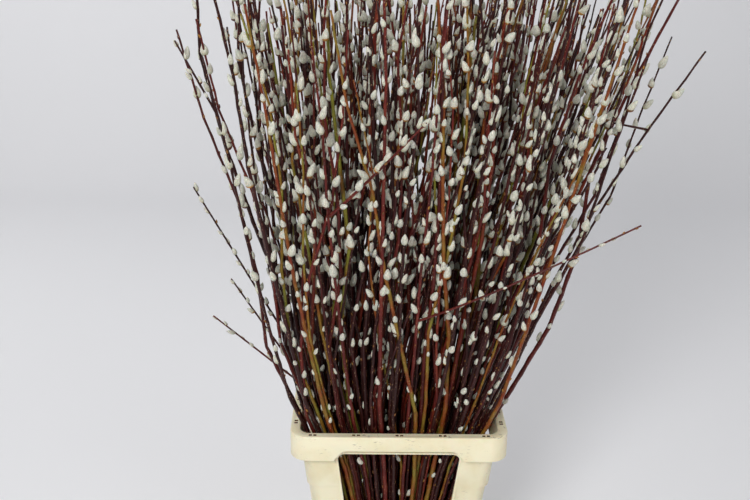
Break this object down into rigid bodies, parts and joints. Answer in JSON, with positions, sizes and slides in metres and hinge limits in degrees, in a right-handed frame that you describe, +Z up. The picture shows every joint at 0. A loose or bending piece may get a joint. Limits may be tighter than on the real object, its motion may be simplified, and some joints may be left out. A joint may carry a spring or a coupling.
{
  "type": "willow stems in a flower container",
  "caption": "Cut pussy-willow stems with silvery catkins, fanned out of a tapered rectangular plastic flower container with a slotted rim and a window in each wall.",
  "frame": {"origin": "centre of the container's flat underside, on the surface that it stands on", "axes": "+Z up; +X along the container's long side; -Y is the front, the long side that faces the viewer"},
  "size_m": [0.8217, 0.5973, 1.2248],
  "materials": {
    "container_plastic": "cream moulded polyethylene, satin, lightly scuffed",
    "willow_stem": "smooth dark red-brown bark with a slight sheen, silvery furred catkins"
  },
  "bodies": {
    "root": {"container": "container_plastic", "stem_01": "willow_stem", "stem_02": "willow_stem", "stem_03": "willow_stem", "stem_04": "willow_stem", "stem_05": "willow_stem", "stem_06": "willow_stem", "stem_07": "willow_stem", "stem_08": "willow_stem", "stem_09": "willow_stem", "stem_10": "willow_stem", "stem_11": "willow_stem", "stem_12": "willow_stem", "stem_13": "willow_stem", "stem_14": "willow_stem", "stem_15": "willow_stem", "stem_16": "willow_stem", "stem_17": "willow_stem", "stem_18": "willow_stem", "stem_19": "willow_stem", "stem_20": "willow_stem", "stem_21": "willow_stem", "stem_22": "willow_stem", "stem_23": "willow_stem", "stem_24": "willow_stem", "stem_25": "willow_stem", "stem_26": "willow_stem", "stem_27": "willow_stem", "stem_28": "willow_stem", "stem_29": "willow_stem", "stem_30": "willow_stem", "stem_31": "willow_stem", "stem_32": "willow_stem", "stem_33": "willow_stem", "stem_34": "willow_stem", "stem_35": "willow_stem", "stem_36": "willow_stem", "stem_37": "willow_stem", "stem_38": "willow_stem", "stem_39": "willow_stem", "stem_40": "willow_stem", "stem_41": "willow_stem", "stem_42": "willow_stem", "stem_43": "willow_stem", "stem_44": "willow_stem", "stem_45": "willow_stem", "stem_46": "willow_stem", "stem_47": "willow_stem", "stem_48": "willow_stem", "stem_49": "willow_stem", "stem_50": "willow_stem", "stem_51": "willow_stem", "stem_52": "willow_stem", "stem_53": "willow_stem", "stem_54": "willow_stem", "stem_55": "willow_stem", "stem_56": "willow_stem"}
  },
  "joints": []
}
